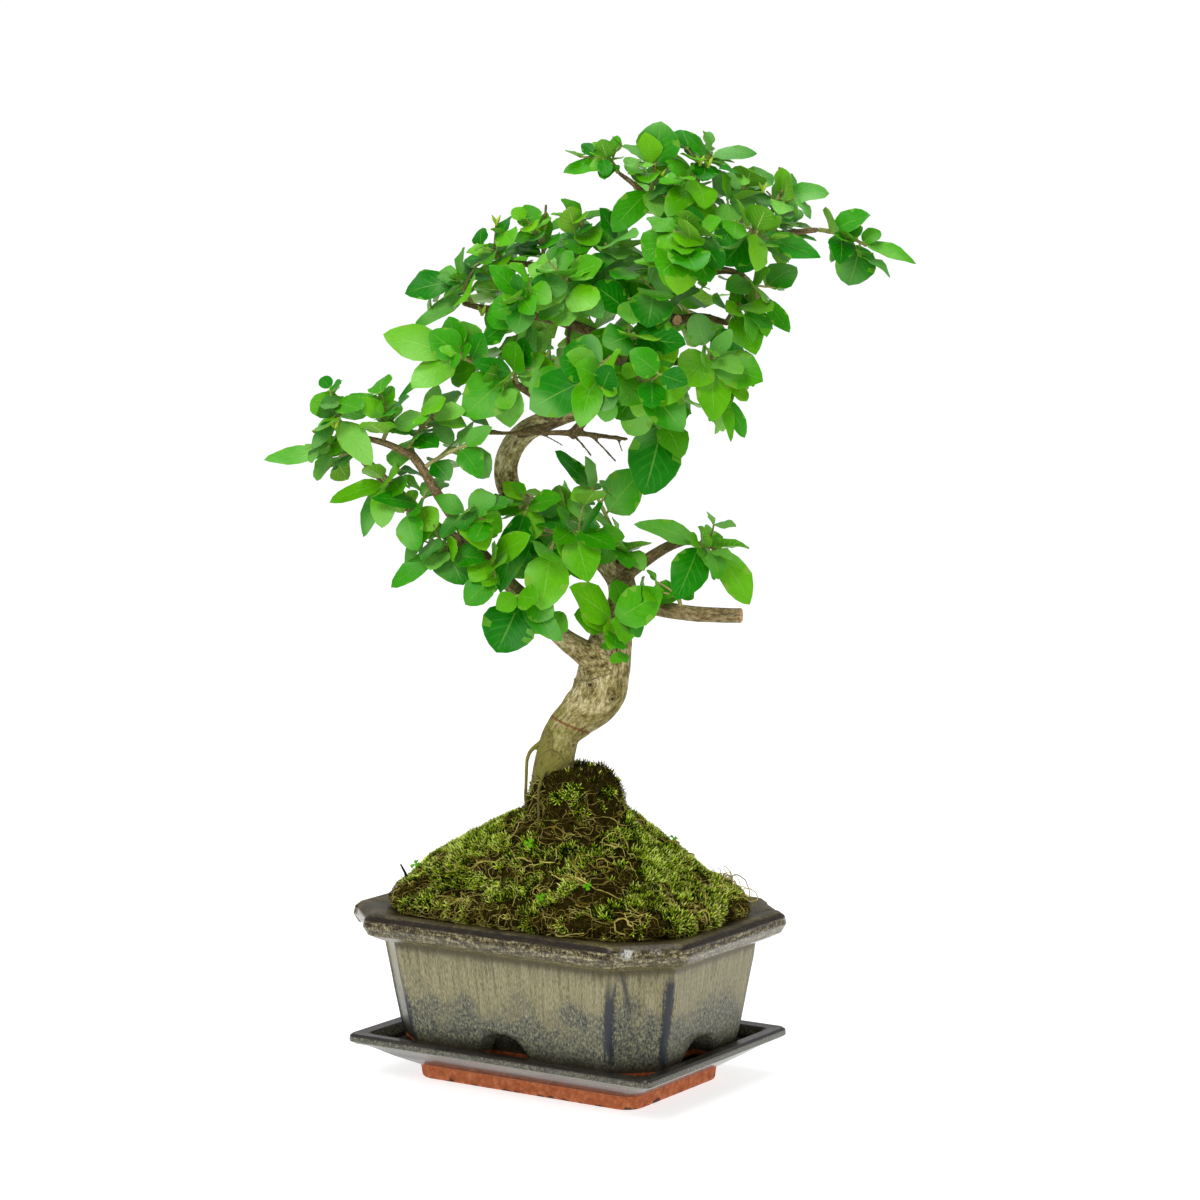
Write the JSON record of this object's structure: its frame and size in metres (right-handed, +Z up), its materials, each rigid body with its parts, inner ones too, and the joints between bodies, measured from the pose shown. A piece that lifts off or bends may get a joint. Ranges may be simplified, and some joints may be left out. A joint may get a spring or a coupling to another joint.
{
  "type": "bonsai tree",
  "caption": "Small S-shaped privet bonsai with leafy shoots, rooted in a mossy soil mound in a glazed rectangular pot that stands on its drip saucer.",
  "frame": {"origin": "centre of the saucer's underside, on the surface that it stands on", "axes": "+Z up, +X along the pot's long side, +Y along its short side; the tree's front looks 33 degrees from -Y towards +X"},
  "size_m": [0.2657, 0.214, 0.48],
  "materials": {
    "saucer_glaze": "glazed stoneware, near black at the lip",
    "pot_glaze": "glazed stoneware, olive brown to celadon",
    "soil": "moist dark soil",
    "moss": "soft, matted with fine roots",
    "bark": "rough living bark",
    "leaf": "satin living leaf"
  },
  "bodies": {
    "root": {"saucer": "saucer_glaze", "pot": "pot_glaze", "soil": "soil", "moss_cover": "moss", "trunk_and_branches": "bark", "shoot_crest_left": "leaf", "shoot_crest": "leaf", "shoot_crest_right": "leaf", "shoot_top_front": "leaf", "shoot_top_back": "leaf", "shoot_top_mid_right": "leaf", "shoot_right_stub": "leaf", "shoot_arm_end": "leaf", "shoot_arm_front": "leaf", "shoot_arm_back": "leaf", "shoot_right_mid_tip": "leaf", "shoot_right_low_tip": "leaf", "shoot_right_bottom": "leaf", "shoot_right_hanging": "leaf", "shoot_bottom_big": "leaf", "shoot_low_front_right": "leaf", "shoot_low_front_left": "leaf", "shoot_low_left": "leaf", "shoot_left_edge": "leaf", "shoot_left_arm": "leaf", "shoot_left_crest_outer": "leaf", "shoot_left_crest_middle": "leaf", "shoot_left_crest_inner": "leaf", "shoot_crown_left_front": "leaf", "shoot_front_left_outer": "leaf", "shoot_front_left_inner": "leaf", "shoot_front_centre": "leaf", "shoot_front_centre_low": "leaf", "shoot_front_stub_shoot": "leaf", "shoot_front_middle": "leaf", "shoot_back_low_right": "leaf", "shoot_back_low_left": "leaf", "shoot_back_middle_left": "leaf", "shoot_back_middle_right": "leaf", "shoot_back_left_end": "leaf", "shoot_back_left_low": "leaf", "shoot_far_left_tip": "leaf", "shoot_high_left_tip": "leaf", "shoot_high_left_middle": "leaf", "shoot_fork_top": "leaf", "shoot_fork_right": "leaf", "shoot_fork_low": "leaf", "shoot_trunk_left": "leaf", "shoot_lower_left_end": "leaf", "shoot_lower_left_outer": "leaf", "shoot_lower_left_low": "leaf", "shoot_lower_middle": "leaf", "shoot_lower_hanging": "leaf", "shoot_lower_centre": "leaf", "shoot_trunk_bend": "leaf", "shoot_trunk_front": "leaf", "shoot_thin_upright": "leaf", "shoot_right_lower_tip": "leaf", "shoot_stub_shoot": "leaf", "shoot_lower_back_shoot": "leaf"}
  },
  "joints": []
}
